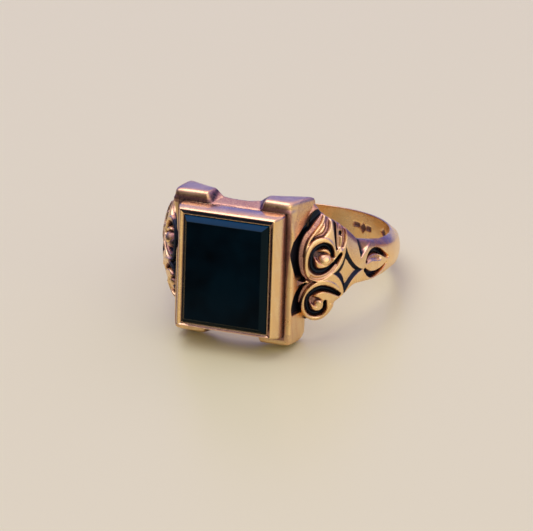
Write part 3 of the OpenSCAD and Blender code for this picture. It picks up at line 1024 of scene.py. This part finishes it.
def head_shade(verts):
    """Painted shade on the ledge, in the saddles between the ears, in the coves, beside the ears, on
    the upper sides and between the coves.
    """
    x, d, z = np.abs(verts[:, 0]), -verts[:, 1], verts[:, 2]
    # painted shade in hollows, from how sheltered each point is
    hidden = shelter(head_field, verts, (0.2, 0.5))
    beside = x - BEZEL_X
    above = np.where(z > 0, z - BEZEL_TOP, -BEZEL_FOOT - z)
    front = smoothstep(LEDGE - 0.45, LEDGE - 0.1, d)
    on_ledge = front * ledge_shade(verts, beside, above)
    saddle = 0.36 * (1 - smoothstep(EAR_GAP - 0.6, EAR_GAP, x)) * (above > -0.1)
    cove = cove_share(verts[:, 1], z) * (x > BEZEL_X)
    flank = 0.8 * np.exp(-((x - EAR_GAP + 0.35) / 0.34) ** 2) * (above > -0.1) * (1 - 0.6 * front)
    flat_side = (1 - front) * (beside > 0.55) * (0.05 + 0.20 * smoothstep(0.5, 3.5, z))
    painted_shade = np.maximum(np.maximum(on_ledge, saddle), np.maximum(flank, flat_side))
    between = 0.5 * np.exp(-((z + 0.45) / 0.4) ** 2) * (beside > 0.3) * (d < 9.2)
    outside = off_bore(np.hypot(verts[:, 0], verts[:, 1]), 0.012, 0.04)
    return np.clip((0.2 * hidden + painted_shade + 0.9 * cove + between) * outside, 0, 1)


def make_head():
    """The block that holds the stone, with its ears, saddles and coves."""
    head = field_piece("head", head_field, HEAD_BOX, HEAD_STEP, head_shade)
    finish_piece(head, gold_material("head_gold", rough=0.30, tarnish=0.5), "head_gold", "head_frame")


FRAME_CORNER = np.linspace(0, 90, 8)  # the angles that round off one corner of a frame


def rounded_frame(half_x, top, foot, radius):
    """Points round a rectangle with rounded corners, in X and Z."""
    out = []
    for turn, (side, end) in zip((0, 90, 180, 270), ((1, top), (-1, top), (-1, -foot), (1, -foot))):
        up = 1 if end > 0 else -1
        for t in np.radians(turn + FRAME_CORNER):
            out.append((side * (half_x - radius) + radius * math.cos(t),
                        end - up * radius + radius * math.sin(t)))
    return np.array(out)


def side_shares():
    """How far each point of a frame belongs to its top side and to its foot side."""
    turn = smoothstep(30, 60, FRAME_CORNER)
    nothing = 0 * turn
    return (np.concatenate([turn, turn[::-1], nothing, nothing]),
            np.concatenate([nothing, nothing, turn, turn[::-1]]))


def frame_rings(stations):
    """Rings of a rectangular piece: each station is (half x, top, foot, corner radius, distance)."""
    rings = []
    for half_x, top, foot, radius, d in stations:
        flat = rounded_frame(half_x, top, foot, radius)
        rings.append(np.column_stack([flat[:, 0], np.full(len(flat), -d), flat[:, 1]]))
    return np.array(rings)


LEFT_LEAN = 0.13  # how much closer to the stone the left lip is rubbed than the right one
CREST = 0.50  # distance of the bezel's crest from the stone
CREST_H = 0.13  # how far the crest stands above the rim
BEZEL_WALL = BEZEL_X - STONE_X
BEZEL_BACK = -bezel_hi[1]  # distance of the bezel's back from the hole's axis


def bezel_rings():
    """The moulding's rings of points, and how far out from the stone each ring lies."""
    top_d = RIM + CREST_H
    # the inner slope, as distance out from the stone and height above the rim
    rise = np.array([(0.02, -0.14), (0.05, -0.05), (0.09, -0.03), (0.14, -0.05), (0.30, 0.02),
                     (0.44, 0.11), (CREST, CREST_H)])
    # the outer slope, as shares of the way to the wall and drops below the crest: it ends above
    # an upright wall at the sides and reaches the ledge at the top
    steps = np.array([0.12, 0.22, 0.36, 0.55, 0.74, 0.89, 0.97, 1.0])
    side_drop = np.array([0.03, 0.10, 0.24, 0.46, 0.68, 0.88, 1.10, 1.30])
    top_drop = np.array([0.03, 0.08, 0.18, 0.38, 0.70, 1.10, 1.48, 1.78])
    offsets = np.concatenate([rise[:, 0], CREST + (BEZEL_WALL - CREST) * steps, [BEZEL_WALL] * 2])
    side = np.concatenate([RIM + rise[:, 1], top_d - side_drop, [LEDGE + 0.1, BEZEL_BACK]])
    top = np.concatenate([RIM + rise[:, 1], top_d - top_drop, [LEDGE + 0.02, BEZEL_BACK]])
    stations = []
    across = [0, CREST, BEZEL_WALL]
    for o, d in [(0.01, BEZEL_BACK)] + list(zip(offsets, side)):
        head = STONE_Z + np.interp(o, across, [0, CREST - 0.02, BEZEL_TOP - STONE_Z])
        foot = STONE_Z + np.interp(o, across, [0, 0.30, BEZEL_FOOT - STONE_Z])
        stations.append((STONE_X + o, head, foot, 0.05 + 0.22 * o, d))
    rings = frame_rings(stations)
    above, below = side_shares()
    on_left = (1 - np.maximum(above, below)) * (rings[0, :, 0] < 0)
    rings[1:, :, 1] -= np.outer(top - side, above)
    rings[1:, :, 0] += LEFT_LEAN * np.outer(np.sin(np.pi * offsets / BEZEL_WALL), on_left)
    return rings, np.concatenate([[0], offsets])


def bezel_shade(rings, out):
    """Painted shade against the stone, in the channel before the crest, on the crest's top side, down
    the outer wall and on the left side.
    """
    out = out[:, None]
    above, below = side_shares()
    beside = 1 - np.maximum(above, below)
    right = beside * (rings[:, :, 0] > 0)
    left = beside * (rings[:, :, 0] < 0)
    channel = smoothstep(0.08, 0.16, out) * (1 - smoothstep(CREST - 0.08, CREST + 0.03, out))
    dark = (1 - smoothstep(0.0, 0.06, out)) + left * (1 - smoothstep(0.06, 0.20, out))
    # painted shade, darker on the top and right sides
    dark = dark + channel * (0.1 + 0.85 * above + 0.45 * right)
    dark = dark + 0.28 * above * np.exp(-((out - CREST) / 0.12) ** 2)
    height = -rings[:, :, 1] - BEZEL_BACK
    low_wall = (1 - smoothstep(0.35, 1.1, height)) * (out > CREST)
    dark = dark + low_wall * (0.10 + 0.5 * beside)
    return dark + 0.45 * left * smoothstep(CREST - 0.05, CREST + 0.10, out)


def make_bezel():
    """The moulding rubbed over the stone's edge, closed into itself at its back."""
    rings, out = bezel_rings()
    rows, cols = rings.shape[:2]
    faces = [(a, d, c, b) for a, b, c, d in skin(rows, cols, rows)]
    bezel = add_mesh("bezel_moulding", rings.reshape(-1, 3), faces)
    set_value(bezel, "patina", np.clip(bezel_shade(rings, out), 0, 1).ravel())
    finish_piece(bezel, gold_material("bezel_gold", rough=0.22, tarnish=0.3), "bezel_gold", "bezel")


BEVEL_W = 0.48  # width of the stone's bevelled edge
BEVEL_EASE = 0.035  # size of the small facets that ease the bevel's two corners


def make_stone():
    """The tablet: a flat table with a bevel round it, its corners eased by narrow facets."""
    ease = BEVEL_EASE
    # each cut is its way in from the stone's side, its distance from the hole's axis and the strength
    # of its painted reflection
    cuts = [(0, -stone_hi[1], 0), (0, RIM - ease, 0.5), (0.2 * ease, RIM, 1),
            (BEVEL_W - ease, TABLE - ease * 1.1, 0.75),
            (BEVEL_W - 0.3 * ease, TABLE - 0.25 * ease, 0.4), (BEVEL_W + ease, TABLE, 0)]
    rings = frame_rings([(STONE_X - i, STONE_Z - i, STONE_Z - i, 0.05, d) for i, d, _ in cuts])
    stone = loft("stone_tablet", rings[:, ::-1])
    painted_reflection = np.array([share for _, _, share in cuts])[:, None]
    # painted reflection on the bevel, twice as strong on the top side
    set_value(stone, "edge", (painted_reflection * (0.5 + 0.5 * side_shares()[0])[::-1]).ravel())
    stone.data.shade_flat()
    finish_piece(stone, onyx_material(), "onyx", "stone")


def dress_hidden_nodes():
    """The CAD pieces that keep their shape get their own materials."""
    inner = gold_material("inner_gold", base=(0.80, 0.48, 0.24), rough=0.36, tarnish=0.5)
    solder = gold_material("solder_gold", base=(0.05, 0.035, 0.03), rough=0.42, pale=(0.07, 0.05, 0.04),
                           red=(0.04, 0.025, 0.02))
    shellac = cement_material()
    looks = {"stone_seat": inner, "back_plate": inner, "stone_cement": shellac,
             "solder_bezel": solder, "solder_shoulder_right": solder, "solder_shoulder_left": solder}
    for name, material in looks.items():
        mesh = frame["nodes"][name].data
        mesh.materials.clear()
        mesh.materials.append(material)


bpy.context.scene.view_settings.view_transform = "Standard"
make_camera()
make_stage()
make_lights()
make_shoulders()
make_band()
make_seams()
make_head()
make_bezel()
make_stone()
dress_hidden_nodes()
